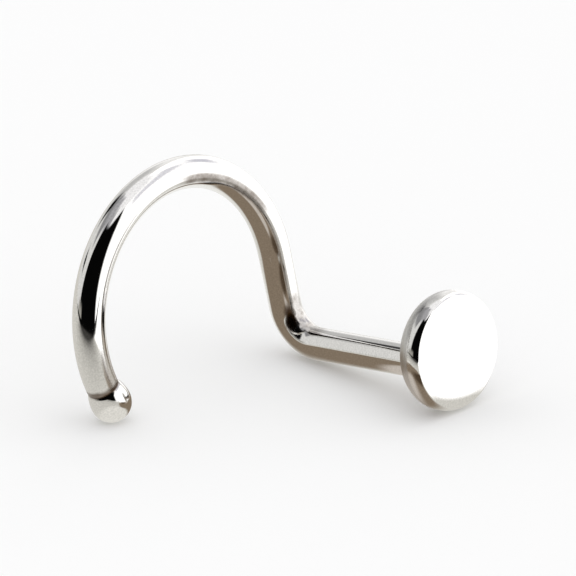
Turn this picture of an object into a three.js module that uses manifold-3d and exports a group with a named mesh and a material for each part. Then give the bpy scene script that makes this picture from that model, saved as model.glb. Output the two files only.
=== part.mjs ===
// A nose stud of polished silver wire, millimetres, +Z up.
// A flat round disc is soldered to a straight post. Behind the nostril the post turns through a right
// angle into a short limb and an open round hook, which ends in a small ball.
// It stands as it rests by itself on a table: on the ball, on the outside of the bend and on the disc's rim.

import * as THREE from 'three';
import { mergeVertices } from 'three/addons/utils/BufferGeometryUtils.js';
import Module from 'manifold-3d';

// Wire
const wireDiameter = 0.8;
const postLength = 4.62; // from the corner of the bend to the back of the disc
const bendRadius = 0.9; // centre line of the right angle between post and limb
const limbLength = 1.4; // straight stretch between the bend and the hook
const limbLean = 30; // degrees from upright, towards the hook
const hookRadius = 3.22; // centre line
const hookSweep = 204; // degrees

// Disc
const discDiameter = 2.92;
const discThickness = 0.86;
const discFrontWidth = 0.12; // polished edge round the flat face, across the face
const discFrontDepth = 0.3; // and along the side
const discRim = 0.02; // straight band between the front edge and the back one
const discBackWidth = 0.57; // softer edge towards the skin
const discRise = 0.4; // the post is soldered this far below the disc's centre
const solderWidth = 0.09; // fillet of solder where the post meets the disc

// Ball
const ballDiameter = 1.0;

// Fineness of the facets
const wireSides = 20;
const wireSteps = 90;
const discSides = 56;
const edgeSteps = 5;
const ballSides = 20;
const ballRings = 14;

const postDirection = new THREE.Vector3(1, 0, 0);
const straightUp = new THREE.Vector3(0, 0, 1);
const wireRadius = wireDiameter / 2;
const discRadius = discDiameter / 2;
const ballRadius = ballDiameter / 2;
const degree = Math.PI / 180;

const wasm = await Module();
wasm.setup();

// A direction in the hook's plane, which is square to the post, by its angle from upright.
function hookDirection(angle) {
  return new THREE.Vector3(0, -Math.sin(angle), Math.cos(angle));
}

// A round arc in space: it starts at centre - inward * radius and sets off along ahead.
class Arc extends THREE.Curve {
  constructor(centre, inward, ahead, radius, angle) {
    super();
    Object.assign(this, { centre, inward, ahead, radius, angle });
  }

  getPoint(t, target = new THREE.Vector3()) {
    return target
      .copy(this.centre)
      .addScaledVector(this.inward, -this.radius * Math.cos(this.angle * t))
      .addScaledVector(this.ahead, this.radius * Math.sin(this.angle * t));
  }
}

// The wire's centre line, from inside the disc to the middle of the ball. The corner of the bend is at 0, 0, 0.
function wirePath() {
  const lean = limbLean * degree;
  const limbDirection = hookDirection(lean);
  const hookInward = hookDirection(lean + Math.PI / 2);
  const insideDisc = postDirection.clone().multiplyScalar(postLength + discThickness / 2);
  const bendStart = postDirection.clone().multiplyScalar(bendRadius);
  const bendCentre = bendStart.clone().addScaledVector(limbDirection, bendRadius);
  const limbStart = limbDirection.clone().multiplyScalar(bendRadius);
  const hookStart = limbStart.clone().addScaledVector(limbDirection, limbLength);
  const hookCentre = hookStart.clone().addScaledVector(hookInward, hookRadius);

  const path = new THREE.CurvePath();
  path.add(new THREE.LineCurve3(insideDisc, bendStart));
  path.add(new Arc(bendCentre, limbDirection, postDirection.clone().negate(), bendRadius, Math.PI / 2));
  path.add(new THREE.LineCurve3(limbStart, hookStart));
  path.add(new Arc(hookCentre, hookInward, limbDirection, hookRadius, hookSweep * degree));
  return path;
}

function wireGeometry(path) {
  const section = new THREE.Shape();
  section.absarc(0, 0, wireRadius, 0, 2 * Math.PI);
  return new THREE.ExtrudeGeometry(section, {
    extrudePath: path,
    steps: wireSteps,
    curveSegments: wireSides / 2,
    bevelEnabled: false,
  });
}

// Turns a profile of radius and height into a solid of revolution about the post's direction.
function turned(profile, sides) {
  const points = profile.getPoints(edgeSteps);
  return new THREE.LatheGeometry(points, sides).rotateZ(-Math.PI / 2);
}

function discGeometry() {
  const frontStart = discThickness - discFrontDepth;
  const backDepth = frontStart - discRim;
  const quarter = Math.PI / 2;
  const profile = new THREE.Path();
  profile.moveTo(0, 0);
  profile.lineTo(discRadius - discBackWidth, 0);
  profile.absellipse(discRadius - discBackWidth, backDepth, discBackWidth, backDepth, -quarter, 0);
  profile.lineTo(discRadius, frontStart);
  profile.absellipse(discRadius - discFrontWidth, frontStart, discFrontWidth, discFrontDepth, 0, quarter);
  profile.lineTo(0, discThickness);
  return turned(profile, discSides).translate(postLength, 0, discRise);
}

// The solder rises from the back of the disc to the wire in a hollow curve, and reaches into both.
function solderGeometry() {
  const profile = new THREE.Path();
  profile.moveTo(0, -solderWidth);
  profile.lineTo(wireRadius, -solderWidth);
  profile.absarc(wireRadius + solderWidth, -solderWidth, solderWidth, Math.PI, Math.PI / 2, true);
  profile.lineTo(wireRadius + solderWidth, discThickness / 4);
  profile.lineTo(0, discThickness / 4);
  return turned(profile, wireSides).translate(postLength, 0, 0);
}

function ballGeometry(centre) {
  return new THREE.SphereGeometry(ballRadius, ballSides, ballRings).translate(centre.x, centre.y, centre.z);
}

// Merges shared corners and drops triangles that have shrunk to a line, as at the poles of a turned shape.
function solidOf(geometry) {
  const bare = geometry.clone();
  bare.deleteAttribute('normal');
  bare.deleteAttribute('uv');
  const merged = mergeVertices(bare);
  const corners = merged.index.array;
  const kept = [];
  for (let i = 0; i < corners.length; i += 3) {
    const [a, b, c] = corners.slice(i, i + 3);
    if (a !== b && b !== c && c !== a) kept.push(a, b, c);
  }
  return new wasm.Manifold(
    new wasm.Mesh({
      numProp: 3,
      vertProperties: Float32Array.from(merged.attributes.position.array),
      triVerts: Uint32Array.from(kept),
    }),
  );
}

function geometryOf(solid) {
  const mesh = solid.getMesh();
  const geometry = new THREE.BufferGeometry();
  geometry.setAttribute('position', new THREE.BufferAttribute(mesh.vertProperties, 3));
  geometry.setIndex(new THREE.BufferAttribute(mesh.triVerts, 1));
  geometry.computeVertexNormals();
  return geometry;
}

function cornersOf(geometry) {
  const position = geometry.attributes.position;
  return Array.from({ length: position.count }, (_, i) => new THREE.Vector3().fromBufferAttribute(position, i));
}

// The plane that the stud rests on touches three feet. Each pass takes every foot's lowest corner
// and lays the plane through those corners, until the corners stay the same.
function restingUp(feet) {
  const passes = 12;
  let up = straightUp.clone();
  for (let i = 0; i < passes; i += 1) {
    const direction = up;
    const [a, b, c] = feet.map((points) =>
      points.reduce((low, point) => (point.dot(direction) < low.dot(direction) ? point : low)),
    );
    const across = b.clone().sub(a);
    const next = across.cross(c.clone().sub(a)).normalize();
    up = next.dot(up) < 0 ? next.negate() : next;
  }
  return up;
}

// Stands the mesh upright on z = 0 with the post heading along +X and its outline centred on the origin.
function stand(mesh, up) {
  const along = postDirection.clone().addScaledVector(up, -postDirection.dot(up)).normalize();
  const across = up.clone().cross(along);
  const standing = new THREE.Matrix4().makeBasis(along, across, up).transpose();
  mesh.quaternion.setFromRotationMatrix(standing);
  const box = new THREE.Box3().setFromPoints(
    cornersOf(mesh.geometry).map((corner) => corner.applyQuaternion(mesh.quaternion)),
  );
  const middle = box.getCenter(new THREE.Vector3());
  mesh.position.set(-middle.x, -middle.y, -box.min.z);
}

function noseStud() {
  const path = wirePath();
  const wire = wireGeometry(path);
  const disc = discGeometry();
  const ball = ballGeometry(path.getPoint(1));
  const fused = [disc, solderGeometry(), ball].reduce(
    (solid, piece) => solid.add(solidOf(piece)),
    solidOf(wire),
  );
  const silver = new THREE.MeshStandardMaterial({ color: 0xe6e4e1, roughness: 0.12, metalness: 1 });
  const mesh = new THREE.Mesh(geometryOf(fused), silver);
  mesh.name = 'nose_stud';

  const corner = new THREE.Vector3();
  const bendReach = bendRadius + wireDiameter;
  const bendCorners = cornersOf(wire).filter((point) => point.distanceTo(corner) < bendReach);
  stand(mesh, restingUp([cornersOf(ball), cornersOf(disc), bendCorners]));
  return mesh;
}

const group = new THREE.Group();
group.add(noseStud());

export default group;
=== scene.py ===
# Nose stud of polished silver wire, lying on a pale table. Blender 4.5, metres, +Z up.

import math

import bmesh
import bpy
from mathutils import Matrix, Vector


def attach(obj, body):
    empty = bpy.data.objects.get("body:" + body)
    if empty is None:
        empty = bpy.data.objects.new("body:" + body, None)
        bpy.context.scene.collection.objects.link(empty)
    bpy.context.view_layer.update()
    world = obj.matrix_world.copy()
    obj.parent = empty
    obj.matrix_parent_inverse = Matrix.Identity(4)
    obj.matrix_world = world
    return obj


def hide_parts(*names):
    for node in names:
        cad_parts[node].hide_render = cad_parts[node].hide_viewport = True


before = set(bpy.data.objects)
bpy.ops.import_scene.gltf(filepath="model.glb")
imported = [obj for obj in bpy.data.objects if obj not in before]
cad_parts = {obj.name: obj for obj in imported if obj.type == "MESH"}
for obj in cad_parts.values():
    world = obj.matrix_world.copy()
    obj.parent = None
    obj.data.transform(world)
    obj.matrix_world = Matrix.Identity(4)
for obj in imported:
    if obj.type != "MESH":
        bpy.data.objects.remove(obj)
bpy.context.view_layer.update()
mm = 0.001
print("frame loaded")


# Camera: a long lens at the photo's angle
lens = {
    "imageSize": 576,  # pixels
    "azimuth": 43.6,  # degrees, 0 looks along +Y
    "elevation": 22.84,
    "roll": 0.53,
    "distance": 400 * mm,
    "pixelsPerMetre": 41743,  # at the aim point
    "aimHeight": 2.5 * mm,
    "aimPixel": (279.36, 310.07),  # where the aim point falls in the image
    "sensor": 36,
    "clip": (50 * mm, 2000 * mm),
}


def makeCamera():
    azimuth, elevation = math.radians(lens["azimuth"]), math.radians(lens["elevation"])
    back = Vector((
        math.sin(azimuth) * math.cos(elevation),
        -math.cos(azimuth) * math.cos(elevation),
        math.sin(elevation),
    ))
    right = Vector((math.cos(azimuth), math.sin(azimuth), 0))
    up = back.cross(right)
    roll = math.radians(lens["roll"])
    right, up = right * math.cos(roll) + up * math.sin(roll), up * math.cos(roll) - right * math.sin(roll)

    half = lens["imageSize"] / 2
    aim = Vector((0, 0, lens["aimHeight"]))
    slide = right * (half - lens["aimPixel"][0]) + up * (lens["aimPixel"][1] - half)
    data = bpy.data.cameras.new("camera")
    data.sensor_width = lens["sensor"]
    data.lens = lens["sensor"] * lens["distance"] * lens["pixelsPerMetre"] / lens["imageSize"]
    data.clip_start, data.clip_end = lens["clip"]
    camera = bpy.data.objects.new("camera", data)
    bpy.context.scene.collection.objects.link(camera)
    turn = Matrix((right, up, back)).transposed()
    place = aim + slide / lens["pixelsPerMetre"] + back * lens["distance"]
    camera.matrix_world = Matrix.Translation(place) @ turn.to_4x4()
    bpy.context.scene.camera = camera


makeCamera()
print("camera placed")


# Small helpers for node trees
def addNode(tree, kind, **values):
    node = tree.nodes.new(kind)
    for name, value in values.items():
        setattr(node, name, value)
    return node


def setInput(tree, socket, value):
    if isinstance(value, bpy.types.NodeSocket):
        tree.links.new(value, socket)
    elif isinstance(value, tuple) and socket.type == "RGBA":
        socket.default_value = (*value, 1)
    elif value is not None:
        socket.default_value = value


def doMath(tree, operation, first, second=None):
    node = addNode(tree, "ShaderNodeMath", operation=operation)
    setInput(tree, node.inputs[0], first)
    setInput(tree, node.inputs[1], second)
    return node.outputs[0]


def remap(tree, value, fromLow, fromHigh, toLow=0.0, toHigh=1.0, smooth=False):
    node = addNode(tree, "ShaderNodeMapRange")
    node.interpolation_type = "SMOOTHSTEP" if smooth else "LINEAR"
    for name, given in (
        ("Value", value),
        ("From Min", fromLow),
        ("From Max", fromHigh),
        ("To Min", toLow),
        ("To Max", toHigh),
    ):
        setInput(tree, node.inputs[name], given)
    return node.outputs["Result"]


def mixColour(tree, factor, first, second):
    node = addNode(tree, "ShaderNodeMix", data_type="RGBA")
    for socket, value in ((node.inputs[0], factor), (node.inputs[6], first), (node.inputs[7], second)):
        setInput(tree, socket, value)
    return node.outputs[2]


def newGroup(name, inputs, outputs):
    group = bpy.data.node_groups.new(name, "ShaderNodeTree")
    for label, kind, default in inputs:
        socket = group.interface.new_socket(label, in_out="INPUT", socket_type=kind)
        if default is not None:
            socket.default_value = default
    for label, kind in outputs:
        group.interface.new_socket(label, in_out="OUTPUT", socket_type=kind)
    return group, addNode(group, "NodeGroupInput").outputs, addNode(group, "NodeGroupOutput").inputs


def placeGroup(tree, group, values, label=""):
    node = addNode(tree, "ShaderNodeGroup", node_tree=group, label=label)
    for name, value in values.items():
        setInput(tree, node.inputs[name], value)
    return node.outputs


def noise(tree, vector, look):
    node = addNode(tree, "ShaderNodeTexNoise")
    setInput(tree, node.inputs["Vector"], vector)
    node.inputs["Scale"].default_value, node.inputs["Detail"].default_value = look
    return node.outputs[0]


# Silver. Every point of the stud carries four attributes: along and section say where it lies on the wire,
# crevice is 1 where polish doesn't reach and tarnish gathers, and also holds the painted dark reflections
# on the wire, and satin is 1 where the surface was left dull
metal = {
    "silver": (0.93, 0.915, 0.89),
    # the tarnish colour also paints the dark reflections at the bend and inside the hook
    "tarnish": (0.1, 0.055, 0.025),
    "tarnishAndReflectionFrom": 0.35,  # crevice values between which tarnish and the painted dark reflections fade in
    "tarnishTo": 0.95,
    "tarnishAndReflectionRoughness": 0.2,
    "cloud": (4200, 4),  # scale and detail of each noise
    "pits": (26000, 2),
    "lines": (14000, 3),
    "ripple": (750, 1),
    "haze": (1500, 4),
    "noiseRange": (0.3, 0.7),
    "hazeRange": (0.4, 0.75),
    "lineRange": (0.5, 0.8),
    "cloudDepth": 0.08,
    "pitShade": 0.86,
    "bumpStrength": 0.6,
    "bumpDistance": 0.012 * mm,
}
finishes = {
    "drawnWire": {
        "stretch": (0.04, 1, 1),  # the drawn lines run along the wire
        "polish": 0.03,
        "haze": 0.05,
        "ripple": 0.4,
        "grain": 0.09,
        "satin": 0.16,  # roughness that satin adds
        "satinPaintedShade": 1.0,
    },
    "lappedDisc": {
        "stretch": (1, 0.2, 1),
        "polish": 0.03,
        "haze": 0.04,
        "ripple": 0.35,
        "grain": 0.02,
        "satin": 0.34,
        # the disc's satin back is painted a darker silver: painted shade
        "satinPaintedShade": 0.78,
    },
    "meltedBall": {
        "stretch": (1, 1, 1),
        "polish": 0.03,
        "haze": 0.04,
        "ripple": 0.7,
        "grain": 0.05,
        "satin": 0.0,
        "satinPaintedShade": 1.0,
    },
}


# Tarnish in the hollows, and the painted dark reflections on the wire, share one mask and colour
def tarnishAndReflectionGroup():
    group, given, result = newGroup(
        "creviceTarnishAndReflection",
        (
            ("Place", "NodeSocketVector", None),
            ("Silver", "NodeSocketColor", (*metal["silver"], 1)),
            ("TarnishAndReflection", "NodeSocketColor", (*metal["tarnish"], 1)),
        ),
        (("Colour", "NodeSocketColor"), ("Mask", "NodeSocketFloat")),
    )
    creviceAndReflection = addNode(group, "ShaderNodeAttribute", attribute_name="creviceAndReflection").outputs["Fac"]
    cloud = noise(group, given["Place"], metal["cloud"])
    cloud = remap(group, cloud, *metal["noiseRange"], -metal["cloudDepth"], metal["cloudDepth"])
    ragged = doMath(group, "ADD", creviceAndReflection, cloud)
    amount = remap(group, ragged, metal["tarnishAndReflectionFrom"], metal["tarnishTo"], smooth=True)
    pits = noise(group, given["Place"], metal["pits"])
    pitShade = remap(group, pits, *metal["noiseRange"], metal["pitShade"], 1.0)
    speckled = addNode(group, "ShaderNodeVectorMath", operation="SCALE")
    setInput(group, speckled.inputs[0], mixColour(group, amount, given["Silver"], given["TarnishAndReflection"]))
    setInput(group, speckled.inputs["Scale"], pitShade)
    setInput(group, result["Colour"], speckled.outputs[0])
    setInput(group, result["Mask"], amount)
    return group


def wearGroup():
    group, given, result = newGroup(
        "handlingWear",
        (
            ("Place", "NodeSocketVector", None),
            ("Stretch", "NodeSocketVector", (1, 1, 1)),
            ("Polish", "NodeSocketFloat", 0.05),
            ("Haze", "NodeSocketFloat", 0.05),
            ("Ripple", "NodeSocketFloat", 0.5),
            ("Grain", "NodeSocketFloat", 0.1),
        ),
        (("Roughness", "NodeSocketFloat"), ("Height", "NodeSocketFloat")),
    )
    drawn = addNode(group, "ShaderNodeVectorMath", operation="MULTIPLY")
    setInput(group, drawn.inputs[0], given["Place"])
    setInput(group, drawn.inputs[1], given["Stretch"])
    lines = noise(group, drawn.outputs[0], metal["lines"])
    ripple = noise(group, given["Place"], metal["ripple"])
    haze = noise(group, given["Place"], metal["haze"])
    clouded = doMath(group, "MULTIPLY", remap(group, haze, *metal["hazeRange"]), given["Haze"])
    scored = doMath(group, "MULTIPLY", remap(group, lines, *metal["lineRange"]), given["Haze"])
    roughness = doMath(group, "ADD", doMath(group, "ADD", given["Polish"], clouded), scored)
    waves = doMath(group, "MULTIPLY", ripple, given["Ripple"])
    height = doMath(group, "ADD", waves, doMath(group, "MULTIPLY", lines, given["Grain"]))
    setInput(group, result["Roughness"], roughness)
    setInput(group, result["Height"], height)
    return group


creviceTarnishAndReflection = tarnishAndReflectionGroup()
handlingWear = wearGroup()


def silver(name):
    look = finishes[name]
    material = bpy.data.materials.new(name)
    material.use_nodes = True
    tree = material.node_tree
    shader = tree.nodes["Principled BSDF"]
    shader.inputs["Metallic"].default_value = 1

    def attribute(label, output="Fac"):
        return addNode(tree, "ShaderNodeAttribute", attribute_name=label).outputs[output]

    section = addNode(tree, "ShaderNodeSeparateXYZ")
    setInput(tree, section.inputs[0], attribute("section", "Vector"))
    place = addNode(tree, "ShaderNodeCombineXYZ")
    for socket, value in zip(place.inputs, (attribute("along"), section.outputs[0], section.outputs[1])):
        setInput(tree, socket, value)

    satin = attribute("satin")
    # Satin parts take a darker silver, a painted shade; only the disc's back is darkened
    satinShadedSilver = tuple(part * look["satinPaintedShade"] for part in metal["silver"])
    tarnish = placeGroup(tree, creviceTarnishAndReflection, {
        "Place": place.outputs[0], "Silver": mixColour(tree, satin, metal["silver"], satinShadedSilver),
    })
    handled = placeGroup(tree, handlingWear, {
        "Place": place.outputs[0], "Stretch": look["stretch"], "Polish": look["polish"],
        "Haze": look["haze"], "Ripple": look["ripple"], "Grain": look["grain"],
    })
    tarnishAndReflectionRough = doMath(tree, "MULTIPLY", tarnish["Mask"], metal["tarnishAndReflectionRoughness"])
    rough = doMath(tree, "ADD", handled["Roughness"], tarnishAndReflectionRough)
    rough = doMath(tree, "ADD", rough, doMath(tree, "MULTIPLY", satin, look["satin"]))
    setInput(tree, shader.inputs["Roughness"], rough)
    setInput(tree, shader.inputs["Base Color"], tarnish["Colour"])
    bump = addNode(tree, "ShaderNodeBump")
    bump.inputs["Strength"].default_value = metal["bumpStrength"]
    bump.inputs["Distance"].default_value = metal["bumpDistance"]
    setInput(tree, bump.inputs["Height"], handled["Height"])
    setInput(tree, shader.inputs["Normal"], bump.outputs[0])
    return material


drawnWire, lappedDisc, meltedBall = (silver(name) for name in finishes)
print("finishes made")


# The wire, bent from one length. The corner of the bend is at 0, 0, 0, the post runs along +X, +Z is up
wire = {
    "diameter": 0.8 * mm,
    "postLength": 4.62 * mm,  # corner of the bend to the back of the disc
    "bendRadius": 0.9 * mm,
    "limbLength": 1.4 * mm,
    "limbLean": 30,  # degrees from upright
    "hookRadius": 3.22 * mm,
    "hookSweep": 204,  # degrees
    "step": 0.08 * mm,
    "sides": 72,
}
wearAndPaintedReflections = {
    "satinFrom": (16.0 * mm, 16.9 * mm),  # along the wire from the disc, where satin fades in
    "bendFilm": 0.4 * mm,  # how far it reaches from the innermost line of the bend
    "bendFilmDepth": 0.6,
    "bendPaintedReflection": (0.38 * mm, -0.55 * mm, 0.45 * mm),  # middle of the painted dark reflection at the bend
    "spotLength": 0.6 * mm,
    "spotWidth": 0.21 * mm,
    "spotEdge": (0.1, 1.5),  # in lengths and widths of the spot
    # The band inside the hook's top is a painted brown reflection, drawn in the tarnish colour
    "hookPaintedReflectionDepth": 0.69,
    "hookPaintedReflectionFrom": (12, 30),  # degrees round the hook, where the painted brown reflection on its inside fades in
    "hookFilmTo": (76, 96),
    "hookPaintedReflectionOuter": (-0.12, 0.04),  # across the wire: 0 is its middle and 1 its inside
    "hookPaintedReflectionInner": (0.45, 0.75),
    "tipFilmDepth": 0.82,
    "tipFilmFrom": (-0.2 * mm, 0.04 * mm),  # along the wire from its plain end beside the ball
}
disc = {
    "diameter": 2.92 * mm,
    "thickness": 0.86 * mm,
    "frontWidth": 0.12 * mm,  # polished edge round the flat face
    "frontDepth": 0.3 * mm,
    "rim": 0.02 * mm,
    "backWidth": 0.57 * mm,
    "rise": 0.4 * mm,  # the post is soldered this far below the centre
    "solder": 0.09 * mm,
    "solderRings": 6,
    "backRings": 22,
    "frontRings": 18,
    "rollOff": 0.01 * mm,  # the flat face dips this much at its edge
    "rollWidth": 0.24 * mm,
    "rollRings": 5,
    "faceShares": (0.7, 0.5, 0.25),  # rings on the flat face
    "stainMiddle": 0.3,  # dark ring round the solder, in widths of the solder
    "stainWidth": 1.6,
    "satinEdge": 0.95,  # share of the back's depth that is full satin
}
ball = {
    "diameter": 1.0 * mm,
    "seat": 0.45 * mm,  # from the middle back to the groove, so the ball is a little long towards the wire
    "neck": 0.1 * mm,  # the plain wire ends this far short of the groove
    "groove": 0.02 * mm,
    "grooveStart": 0.1,  # in necks behind the seat
    "grooveRings": (  # place in necks, share of the groove's depth, tarnish
        (0.55, 0.0, 0.82),
        (0.35, 0.08, 0.84),
        (0.2, 0.4, 0.88),
        (0.1, 0.8, 0.92),
        (0.0, 1.0, 0.92),
        (-0.08, 0.9, 0.8),
    ),
    "rings": 24,
    "stainAndDarkReflection": 0.55,  # tarnish on the ball's first ring
    "stainFade": 0.25,  # and how much less there is on each ring after it
}


postDirection = Vector((1, 0, 0))


def smooth(value, low, high):
    t = min(1.0, max(0.0, (value - low) / (high - low)))
    return t * t * (3 - 2 * t)


def hookDirection(angle):
    return Vector((0, -math.sin(angle), math.cos(angle)))


# Directions along the limb and into the hook, and the centres of the bend and the hook
def layout():
    lean, bend = math.radians(wire["limbLean"]), wire["bendRadius"]
    limb, inward = hookDirection(lean), hookDirection(lean + math.pi / 2)
    bendCentre = (postDirection + limb) * bend
    hookCentre = limb * (bend + wire["limbLength"]) + inward * wire["hookRadius"]
    return limb, inward, bendCentre, hookCentre


def centreLine():
    limb, inward, bendCentre, hookCentre = layout()
    bend, hook = wire["bendRadius"], wire["hookRadius"]
    postEnd = wire["postLength"] - disc["solder"]
    sweep = math.radians(wire["hookSweep"])

    def onPost(d):
        return postDirection * (postEnd - d)

    def onBend(d):
        return bendCentre - (limb * math.cos(d / bend) + postDirection * math.sin(d / bend)) * bend

    def onLimb(d):
        return limb * (bend + d)

    def onHook(d):
        return hookCentre - (inward * math.cos(d / hook) - limb * math.sin(d / hook)) * hook

    stretches = (
        (postEnd - bend, onPost),
        (bend * math.pi / 2, onBend),
        (wire["limbLength"], onLimb),
        (hook * sweep - ball["seat"] - ball["neck"], onHook),
    )
    points = []
    for length, pointAt in stretches:
        count = max(2, round(length / wire["step"]))
        points += [pointAt(length * i / count) for i in range(count)]
    points.append(onHook(stretches[-1][0]))
    return points, onHook(hook * sweep)


def tubeTree():
    tree = bpy.data.node_groups.new("roundWire", "GeometryNodeTree")
    sockets = {}
    for label, kind in (
        ("Centre line", "NodeSocketGeometry"), ("Wire radius", "NodeSocketFloat"),
        ("Sides", "NodeSocketInt"), ("Finish", "NodeSocketMaterial"),
    ):
        sockets[label] = tree.interface.new_socket(label, in_out="INPUT", socket_type=kind).identifier
    tree.interface.new_socket("Wire", in_out="OUTPUT", socket_type="NodeSocketGeometry")
    given = addNode(tree, "NodeGroupInput").outputs
    toCurve = addNode(tree, "GeometryNodeMeshToCurve")
    lengthAlong = addNode(tree, "GeometryNodeSplineParameter")
    keepAlong = addNode(tree, "GeometryNodeStoreNamedAttribute", data_type="FLOAT", domain="POINT")
    circle = addNode(tree, "GeometryNodeCurvePrimitiveCircle")
    spot = addNode(tree, "GeometryNodeInputPosition")
    keepSection = addNode(tree, "GeometryNodeStoreNamedAttribute", data_type="FLOAT_VECTOR", domain="POINT")
    sweep = addNode(tree, "GeometryNodeCurveToMesh")
    shadeSmooth = addNode(tree, "GeometryNodeSetShadeSmooth")
    realize = addNode(tree, "GeometryNodeRealizeInstances")
    paint = addNode(tree, "GeometryNodeSetMaterial")
    result = addNode(tree, "NodeGroupOutput")
    for target, value in (
        (toCurve.inputs["Mesh"], given["Centre line"]),
        (keepAlong.inputs["Geometry"], toCurve.outputs["Curve"]),
        (keepAlong.inputs["Name"], "along"),
        (keepAlong.inputs["Value"], lengthAlong.outputs["Length"]),
        (circle.inputs["Resolution"], given["Sides"]),
        (circle.inputs["Radius"], given["Wire radius"]),
        (keepSection.inputs["Geometry"], circle.outputs["Curve"]),
        (keepSection.inputs["Name"], "section"),
        (keepSection.inputs["Value"], spot.outputs["Position"]),
        (sweep.inputs["Curve"], keepAlong.outputs["Geometry"]),
        (sweep.inputs["Profile Curve"], keepSection.outputs["Geometry"]),
        (shadeSmooth.inputs["Geometry"], sweep.outputs["Mesh"]),
        (realize.inputs["Geometry"], shadeSmooth.outputs["Geometry"]),
        (paint.inputs["Geometry"], realize.outputs["Geometry"]),
        (paint.inputs["Material"], given["Finish"]),
        (result.inputs["Wire"], paint.outputs["Geometry"]),
    ):
        setInput(tree, target, value)
    return tree, sockets


def drawWire(points):
    line = bpy.data.meshes.new("centreLine")
    line.from_pydata(points, [(i, i + 1) for i in range(len(points) - 1)], [])
    holder = bpy.data.objects.new("centreLine", line)
    bpy.context.scene.collection.objects.link(holder)
    tree, sockets = tubeTree()
    modifier = holder.modifiers.new("roundWire", "NODES")
    modifier.node_group = tree
    modifier[sockets["Wire radius"]] = wire["diameter"] / 2
    modifier[sockets["Sides"]] = wire["sides"]
    modifier[sockets["Finish"]] = drawnWire
    graph = bpy.context.evaluated_depsgraph_get()
    mesh = bpy.data.meshes.new_from_object(holder.evaluated_get(graph))
    holder.modifiers.clear()
    bpy.data.objects.remove(holder)
    return mesh


# The two ends of the tube, each as a ring of vertices in order
def openRings(bm):
    loose = {v for e in bm.edges if e.is_boundary for v in e.verts}
    rings = []
    while loose:
        ring = [min(loose, key=lambda v: v.index)]
        loose.discard(ring[0])
        while True:
            step = [e.other_vert(ring[-1]) for e in ring[-1].link_edges if e.is_boundary]
            step = [v for v in step if v in loose]
            if not step:
                break
            ring.append(step[0])
            loose.discard(step[0])
        rings.append(ring)
    return sorted(rings, key=lambda ring: -ring[0].co.x)


class Skin:
    # Grows rings of faces on an open end, keeping the attributes that the finishes read
    def __init__(self, bm, ring, material):
        self.bm, self.ring, self.material = bm, ring, material
        self.along = bm.verts.layers.float["along"]
        self.section = bm.verts.layers.float_vector["section"]
        self.creviceAndReflection = bm.verts.layers.float["creviceAndReflection"]
        self.satin = bm.verts.layers.float["satin"]

    def vertex(self, point, along, section, creviceAndReflection, satin):
        vertex = self.bm.verts.new(point)
        vertex[self.along], vertex[self.section] = along, section
        vertex[self.creviceAndReflection], vertex[self.satin] = creviceAndReflection, satin
        return vertex

    def face(self, corners):
        face = self.bm.faces.new(corners)
        face.material_index, face.smooth = self.material, True

    def grow(self, ring):
        for i in range(len(ring)):
            j = (i + 1) % len(ring)
            self.face((self.ring[i], self.ring[j], ring[j], ring[i]))
        self.ring = ring

    def close(self, vertex):
        for i in range(len(self.ring)):
            self.face((self.ring[i], self.ring[(i + 1) % len(self.ring)], vertex))


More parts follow.
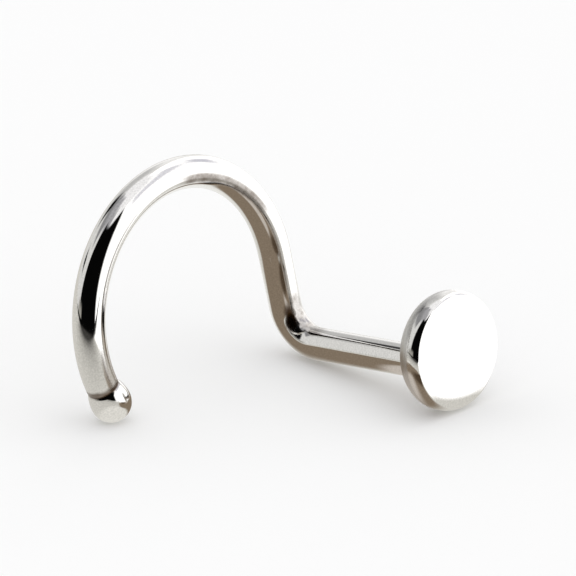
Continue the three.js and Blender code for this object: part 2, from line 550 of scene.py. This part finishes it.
# The disc: a hollow fillet of solder, the soft satin back, the polished front edge and the flat face
def addDisc(bm, ring, material):
    skin = Skin(bm, ring, material)
    radius, wireRadius, solder = disc["diameter"] / 2, wire["diameter"] / 2, disc["solder"]
    start, thickness = wire["postLength"], disc["thickness"]
    frontStart = thickness - disc["frontDepth"]
    backDepth, backWidth = frontStart - disc["rim"], disc["backWidth"]
    flat = radius - backWidth
    centre = Vector((0, 0, disc["rise"]))
    angles = [math.atan2(v.co.z, v.co.y) for v in ring]

    def nearPost(point):
        reach = math.hypot(point.y, point.z) - wireRadius
        return max(0.0, 1 - abs(reach - disc["stainMiddle"] * solder) / (disc["stainWidth"] * solder))

    def ringOf(spots):
        made = []
        for depth, out, angle in spots:
            across = Vector((0, math.cos(angle), math.sin(angle))) * out
            point = centre + across + Vector((start + depth, 0, 0))
            creviceAndReflection = nearPost(point) if depth < backDepth / 2 else 0.0
            satin = 1 - smooth(depth, disc["satinEdge"] * backDepth, frontStart + disc["rim"])
            made.append(skin.vertex(point, -depth, (across.y, across.z, 0), creviceAndReflection, satin))
        skin.grow(made)

    def polar(angle, out):
        y, z = math.cos(angle) * out, math.sin(angle) * out - disc["rise"]
        return math.hypot(y, z), math.atan2(z, y)

    def back(travel):
        turn = max(0, travel - flat) / backWidth
        return backDepth * (1 - math.cos(turn)), min(travel, flat) + backWidth * math.sin(turn)

    def travelOf(out):
        return out if out < flat else flat + backWidth * math.asin(min(1, (out - flat) / backWidth))

    seats = [polar(angle, wireRadius + solder) for angle in angles]
    for k in range(1, disc["solderRings"] + 1):
        turn = math.pi / 2 * k / disc["solderRings"]
        spots = []
        for angle, seat in zip(angles, seats):
            out, around = polar(angle, wireRadius + solder * (1 - math.cos(turn)))
            depth = -solder * (1 - math.sin(turn)) + back(travelOf(seat[0]))[0] * math.sin(turn)
            spots.append((depth, out, around))
        ringOf(spots)
    for k in range(1, disc["backRings"] + 1):
        share = k / disc["backRings"]
        spots = []
        for angle, (out, around) in zip(angles, seats):
            first, last = travelOf(out), flat + backWidth * math.pi / 2
            depth, reach = back(first + (last - first) * share)
            swing = (angle - around + math.pi) % (2 * math.pi) - math.pi
            spots.append((depth, reach, around + swing * share))
        ringOf(spots)

    # The front edge is a quarter ellipse, with its rings spread evenly over the turn of its surface
    wide, deep, dip = disc["frontWidth"], disc["frontDepth"] - disc["rollOff"], disc["rollOff"]
    for k in range(disc["frontRings"] + 1):
        facing = math.pi / 2 * k / disc["frontRings"]
        turn = math.atan2(deep * math.sin(facing), wide * math.cos(facing))
        spot = (frontStart + deep * math.sin(turn), radius - wide * (1 - math.cos(turn)))
        ringOf([(*spot, angle) for angle in angles])
    for k in range(1, disc["rollRings"] + 1):
        left = 1 - k / disc["rollRings"]
        out = radius - wide - disc["rollWidth"] * (1 - left)
        ringOf([(thickness - dip * left * left, out, angle) for angle in angles])
    for share in disc["faceShares"]:
        ringOf([(thickness, (radius - wide) * share, angle) for angle in angles])
    middle = centre + Vector((start + thickness, 0, 0))
    skin.close(skin.vertex(middle, -thickness, (0, 0, 0), 0.0, 0.0))


# The ball: a shallow groove where it was melted on, a back that is a little long, then the round tip
def addBall(bm, ring, ballCentre, length, material):
    skin = Skin(bm, ring, material)
    end = sum((v.co for v in ring), Vector()) / len(ring)
    axis = (ballCentre - end).normalized()
    outward = [(v.co - end - axis * (v.co - end).dot(axis)).normalized() for v in ring]
    wireRadius, radius, seat = wire["diameter"] / 2, ball["diameter"] / 2, ball["seat"]
    deep, neck = ball["groove"], ball["neck"]
    grooveBack = seat + ball["grooveStart"] * neck
    profile = []
    for place, share, creviceAndReflection in ball["grooveRings"]:
        profile.append((grooveBack + place * neck, wireRadius - share * deep, creviceAndReflection))
    longer = seat / math.sqrt(1 - (wireRadius / radius) ** 2)
    first = math.acos((seat - ball["grooveStart"] * neck) / longer)
    for k in range(ball["rings"]):
        turn = first + (math.pi - first) * k / ball["rings"]
        reach = longer if turn < math.pi / 2 else radius
        creviceAndReflection = max(0.0, ball["stainAndDarkReflection"] - ball["stainFade"] * k)
        profile.append((reach * math.cos(turn), radius * math.sin(turn), creviceAndReflection))
    for back, out, creviceAndReflection in profile:
        made = []
        for direction in outward:
            spot = direction * out - axis * back
            made.append(skin.vertex(ballCentre + spot, length - back, tuple(direction * out), creviceAndReflection, 1.0))
        skin.grow(made)
    skin.close(skin.vertex(ballCentre + axis * radius, length + radius, (0, 0, 0), 0.0, 1.0))


# The plane that the stud rests on touches the ball, the bend and the disc. A few passes settle it
def restingTurn(feet, passes=12):
    up = Vector((0, 0, 1))
    for _ in range(passes):
        a, b, c = (min(points, key=lambda p: p.dot(up)) for points in feet)
        up = (b - a).cross(c - a).normalized()
        if up.z < 0:
            up.negate()
    along = (postDirection - up * up.x).normalized()
    return Matrix((along, up.cross(along), up)).to_4x4()


# Tarnish stays on the inside of the bend and beside the ball. A dark spot at the bend and a brown band
# inside the hook's top are painted reflections, drawn in the tarnish colour. Towards the ball the wire is
# also duller
def weatherWire(bm):
    creviceAndReflection, satin = bm.verts.layers.float.new("creviceAndReflection"), bm.verts.layers.float.new("satin")
    along = bm.verts.layers.float["along"]
    limb, inward, bendCentre, hookCentre = layout()
    wireRadius, spot = wire["diameter"] / 2, Vector(wearAndPaintedReflections["bendPaintedReflection"])
    inside = wire["bendRadius"] - wireRadius
    end = max(vertex[along] for vertex in bm.verts)
    for vertex in bm.verts:
        reach = (vertex.co - bendCentre).length
        film = wearAndPaintedReflections["bendFilmDepth"] * (1 - smooth(reach, inside, inside + wearAndPaintedReflections["bendFilm"]))
        tip = wearAndPaintedReflections["tipFilmDepth"] * smooth(vertex[along] - end, *wearAndPaintedReflections["tipFilmFrom"])

        # Painted dark reflection: a dark spot at the bend, drawn in the tarnish colour
        away = vertex.co - spot
        up = away.dot(limb)
        across = (away - limb * up).length
        apart = math.hypot(up / wearAndPaintedReflections["spotLength"], across / wearAndPaintedReflections["spotWidth"])
        stainAndDarkReflection = 1 - smooth(apart, *wearAndPaintedReflections["spotEdge"])

        # Painted brown reflection: a band on the inside of the hook's top
        arm = vertex.co - hookCentre
        turn = math.degrees(math.atan2(arm.dot(limb), -arm.dot(inward)))
        facing = (wire["hookRadius"] - math.hypot(arm.y, arm.z)) / wireRadius
        hookReflectionBand = smooth(facing, *wearAndPaintedReflections["hookPaintedReflectionOuter"]) * (1 - smooth(facing, *wearAndPaintedReflections["hookPaintedReflectionInner"]))
        hookReflectionBand *= smooth(turn, *wearAndPaintedReflections["hookPaintedReflectionFrom"]) * (1 - smooth(turn, *wearAndPaintedReflections["hookFilmTo"]))
        vertex[creviceAndReflection] = max(film, tip, stainAndDarkReflection, hookReflectionBand * wearAndPaintedReflections["hookPaintedReflectionDepth"])
        vertex[satin] = smooth(vertex[along], *wearAndPaintedReflections["satinFrom"])
    bm.verts.index_update()


def makeStud():
    points, ballCentre = centreLine()
    mesh = drawWire(points)
    mesh.name = "nose_stud_silver"
    mesh.materials.append(lappedDisc)
    mesh.materials.append(meltedBall)
    wireLength = sum((b - a).length for a, b in zip(points, points[1:]))

    bm = bmesh.new()
    bm.from_mesh(mesh)
    weatherWire(bm)
    discEnd, ballEnd = openRings(bm)
    addDisc(bm, discEnd, 1)
    addBall(bm, ballEnd, ballCentre, wireLength + ball["seat"] + ball["neck"], 2)
    bmesh.ops.recalc_face_normals(bm, faces=bm.faces)

    corners = [v.co.copy() for v in bm.verts]
    feet = (
        [p for p in corners if (p - ballCentre).length < ball["diameter"]],
        [p for p in corners if p.x > wire["postLength"]],
        [p for p in corners if p.length < wire["bendRadius"] + wire["diameter"]],
    )
    bm.transform(restingTurn(feet))
    low = Vector(min(v.co[k] for v in bm.verts) for k in range(3))
    high = Vector(max(v.co[k] for v in bm.verts) for k in range(3))
    bm.transform(Matrix.Translation((-(low.x + high.x) / 2, -(low.y + high.y) / 2, -low.z)))
    bm.to_mesh(mesh)
    bm.free()

    stud = bpy.data.objects.new("nose_stud_silver", mesh)
    bpy.context.scene.collection.objects.link(stud)
    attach(stud, "root")
    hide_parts("nose_stud")


makeStud()
print("stud made")


# Table: a pale sheet. To glossy rays it glows instead, so the metal mirrors painted light and shade: a
# painted bright field at the back right, painted dark in front where the room begins, a painted brown shadow
# under the stud and painted light and dark patches by the disc, post and ball. A patch has its place and
# half size in millimetres and its turn in degrees, and soft is the share of the half size that is blurred
table = {
    "half": 400 * mm,
    "pale": (0.92, 0.92, 0.92),
    "mirrored": (0.68, 0.67, 0.63),
}
shades = {
    "bright back": {
        "place": (318.8, 393.2), "half": (500, 500), "turn": 0, "soft": 0.001, "colour": (1.35, 1.35, 1.35),
    },
    "behind hook": {
        "place": (-4, 6), "half": (4, 4), "turn": 0, "soft": 0.4, "colour": (0.95, 0.95, 0.93),
    },
    "dark room": {
        "place": (318, -536), "half": (900, 600), "turn": 31, "soft": 0.008, "colour": (0.002, 0.002, 0.002),
    },
    "front": {
        "place": (10, -32), "half": (22, 22), "turn": 0, "soft": 0.5, "colour": (0.05, 0.048, 0.045),
    },
    "painted shadow under stud": {
        "place": (0.2, -0.35), "half": (6.2, 3), "turn": 0, "soft": 0.1, "colour": (0.24, 0.19, 0.14),
    },
    "painted shade under disc": {
        "place": (5.2, 0.1), "half": (3, 1.1), "turn": 20, "soft": 0.35, "colour": (0.08, 0.055, 0.035),
    },
    "light under post": {
        "place": (1.7, 1.4), "half": (1.1, 1.7), "turn": 0, "soft": 0.25, "colour": (0.58, 0.53, 0.48),
    },
    "light beside ball": {
        "place": (-1.1, -3.8), "half": (1.3, 0.92), "turn": 0, "soft": 0.2, "colour": (0.79, 0.78, 0.74),
    },
}


def shadeGroup():
    group, given, result = newGroup(
        "tableShade",
        (
            ("Place", "NodeSocketVector", None),
            ("Behind", "NodeSocketColor", (1, 1, 1, 1)),
            ("Colour", "NodeSocketColor", (0, 0, 0, 1)),
            ("Centre", "NodeSocketVector", None),
            ("Turn", "NodeSocketFloat", 0.0),
            ("Half length", "NodeSocketFloat", 1.0),
            ("Half width", "NodeSocketFloat", 1.0),
            ("Soft", "NodeSocketFloat", 0.1),
        ),
        (("Light", "NodeSocketColor"),),
    )
    moved = addNode(group, "ShaderNodeVectorMath", operation="SUBTRACT")
    setInput(group, moved.inputs[0], given["Place"])
    setInput(group, moved.inputs[1], given["Centre"])
    turned = addNode(group, "ShaderNodeVectorRotate", rotation_type="Z_AXIS")
    setInput(group, turned.inputs["Vector"], moved.outputs[0])
    setInput(group, turned.inputs["Angle"], doMath(group, "MULTIPLY", given["Turn"], -1.0))
    parts = addNode(group, "ShaderNodeSeparateXYZ")
    setInput(group, parts.inputs[0], turned.outputs[0])
    across = doMath(group, "DIVIDE", parts.outputs[0], given["Half length"])
    deep = doMath(group, "DIVIDE", parts.outputs[1], given["Half width"])
    square = doMath(group, "MULTIPLY", across, across)
    square = doMath(group, "ADD", square, doMath(group, "MULTIPLY", deep, deep))
    away = doMath(group, "SQRT", square)
    outer, inner = doMath(group, "ADD", given["Soft"], 1.0), doMath(group, "SUBTRACT", 1.0, given["Soft"])
    mask = remap(group, away, outer, inner, smooth=True)
    setInput(group, result["Light"], mixColour(group, mask, given["Behind"], given["Colour"]))
    return group


def makeTable():
    half = table["half"]
    mesh = bpy.data.meshes.new("table")
    corners = [(-half, -half, 0), (half, -half, 0), (half, half, 0), (-half, half, 0)]
    mesh.from_pydata(corners, [], [(0, 1, 2, 3)])
    floor = bpy.data.objects.new("table", mesh)
    bpy.context.scene.collection.objects.link(floor)
    material = bpy.data.materials.new("paleTable")
    material.use_nodes = True
    material.cycles.emission_sampling = "NONE"
    tree = material.node_tree
    tree.nodes.clear()
    spot = addNode(tree, "ShaderNodeTexCoord").outputs["Object"]
    shade = shadeGroup()
    light = table["mirrored"]
    for name, spec in shades.items():
        x, y = spec["place"]
        long, wide = spec["half"]
        light = placeGroup(tree, shade, {
            "Place": spot, "Behind": light, "Colour": spec["colour"], "Centre": (x * mm, y * mm, 0),
            "Turn": math.radians(spec["turn"]), "Half length": long * mm, "Half width": wide * mm,
            "Soft": spec["soft"],
        }, name)["Light"]
    # Glossy rays see the painted light and shade as a glow; camera and diffuse rays see the pale sheet
    sheet = addNode(tree, "ShaderNodeBsdfDiffuse")
    setInput(tree, sheet.inputs["Color"], table["pale"])
    glow = addNode(tree, "ShaderNodeEmission")
    setInput(tree, glow.inputs["Color"], light)
    choose = addNode(tree, "ShaderNodeMixShader")
    setInput(tree, choose.inputs[0], addNode(tree, "ShaderNodeLightPath").outputs["Is Glossy Ray"])
    setInput(tree, choose.inputs[1], sheet.outputs[0])
    setInput(tree, choose.inputs[2], glow.outputs[0])
    setInput(tree, addNode(tree, "ShaderNodeOutputMaterial").inputs["Surface"], choose.outputs[0])
    mesh.materials.append(material)


makeTable()


# Studio: a white tent with a wide softbox at the back right, a roof, grey walls and seams, dark gaps
# between them, and the dark room in front on the right. Each card has its azimuth and elevation, counted
# as the camera's are, its width and height and the blur of its edge, all in degrees
tent = {
    "wall": (0.74, 0.74, 0.73),
    "onTable": (1.05, 1.05, 1.05),  # soft light that falls on the table
    "seenByCamera": (1.0, 1.0, 1.0),
}
cards = {
    "ceiling": {"at": (180, 80), "size": (400, 50), "soft": 14, "colour": (0.98, 0.98, 1.0)},
    "softbox": {"at": (152, 20), "size": (128, 90), "soft": 10, "colour": (1.4, 1.4, 1.4)},
    "left fill": {"at": (-130, 10), "size": (20, 60), "soft": 16, "colour": (1.1, 1.1, 1.1)},
    "softbox edge": {"at": (140, 52), "size": (70, 18), "soft": 12, "colour": (0.78, 0.78, 0.84)},
    "back seam": {"at": (-178, 31), "size": (24, 18), "soft": 14, "colour": (0.68, 0.68, 0.76)},
    "left wall": {"at": (-112, 32), "size": (40, 34), "soft": 20, "colour": (0.56, 0.56, 0.56)},
    "left corner": {"at": (-72, 49), "size": (50, 26), "soft": 8, "colour": (0.27, 0.27, 0.28)},
    "front roof": {"at": (-35, 67), "size": (110, 26), "soft": 14, "colour": (0.4, 0.4, 0.42)},
    "left gap": {"at": (-95, 29), "size": (16, 22), "soft": 8, "colour": (0.005, 0.005, 0.005)},
    "front gap": {"at": (-65, 16), "size": (14, 9), "soft": 4, "colour": (0, 0, 0)},
    "dark room": {"at": (29, 20), "size": (113, 92), "soft": 5, "colour": (0.002, 0.002, 0.002)},
    "front sheet": {"at": (-24, 0), "size": (26, 14), "soft": 8, "colour": (0.36, 0.35, 0.32)},
}


def cardGroup():
    group, given, result = newGroup(
        "studioCard",
        (
            ("Direction", "NodeSocketVector", None),
            ("Behind", "NodeSocketColor", (0, 0, 0, 1)),
            ("Colour", "NodeSocketColor", (1, 1, 1, 1)),
            ("Azimuth", "NodeSocketFloat", 0.0),
            ("Elevation", "NodeSocketFloat", 0.0),
            ("Width", "NodeSocketFloat", 10.0),
            ("Height", "NodeSocketFloat", 10.0),
            ("Soft", "NodeSocketFloat", 1.0),
        ),
        (("Light", "NodeSocketColor"),),
    )
    turned = addNode(group, "ShaderNodeVectorRotate", rotation_type="Z_AXIS")
    setInput(group, turned.inputs["Vector"], given["Direction"])
    azimuth = doMath(group, "RADIANS", given["Azimuth"])
    setInput(group, turned.inputs["Angle"], doMath(group, "MULTIPLY", azimuth, -1.0))
    parts = addNode(group, "ShaderNodeSeparateXYZ")
    setInput(group, parts.inputs[0], turned.outputs[0])
    ahead = doMath(group, "MULTIPLY", parts.outputs[1], -1.0)
    sideways = doMath(group, "DEGREES", doMath(group, "ARCTAN2", parts.outputs[0], ahead))
    upward = doMath(group, "DEGREES", doMath(group, "ARCSINE", parts.outputs[2]))
    raised = doMath(group, "SUBTRACT", upward, given["Elevation"])
    half = doMath(group, "MULTIPLY", given["Soft"], 0.5)

    def inside(angle, size):
        reach = doMath(group, "MULTIPLY", size, 0.5)
        outer, inner = doMath(group, "ADD", reach, half), doMath(group, "SUBTRACT", reach, half)
        return remap(group, doMath(group, "ABSOLUTE", angle), outer, inner, smooth=True)

    mask = doMath(group, "MULTIPLY", inside(sideways, given["Width"]), inside(raised, given["Height"]))
    setInput(group, result["Light"], mixColour(group, mask, given["Behind"], given["Colour"]))
    return group


def makeStudio():
    world = bpy.data.worlds.new("studio")
    bpy.context.scene.world = world
    world.use_nodes = True
    tree = world.node_tree
    tree.nodes.clear()
    card = cardGroup()
    direction = addNode(tree, "ShaderNodeTexCoord").outputs["Generated"]
    light = tent["wall"]
    for name, spec in cards.items():
        azimuth, elevation = spec["at"]
        width, height = spec["size"]
        light = placeGroup(tree, card, {
            "Direction": direction, "Behind": light, "Colour": spec["colour"], "Azimuth": azimuth,
            "Elevation": elevation, "Width": width, "Height": height, "Soft": spec["soft"],
        }, name)["Light"]
    path = addNode(tree, "ShaderNodeLightPath").outputs
    light = mixColour(tree, path["Is Diffuse Ray"], light, tent["onTable"])
    light = mixColour(tree, path["Is Camera Ray"], light, tent["seenByCamera"])
    shader = addNode(tree, "ShaderNodeBackground")
    setInput(tree, shader.inputs["Color"], light)
    setInput(tree, addNode(tree, "ShaderNodeOutputWorld").inputs["Surface"], shader.outputs[0])
    bpy.context.scene.view_settings.view_transform = "Standard"


makeStudio()
print("table and studio made")
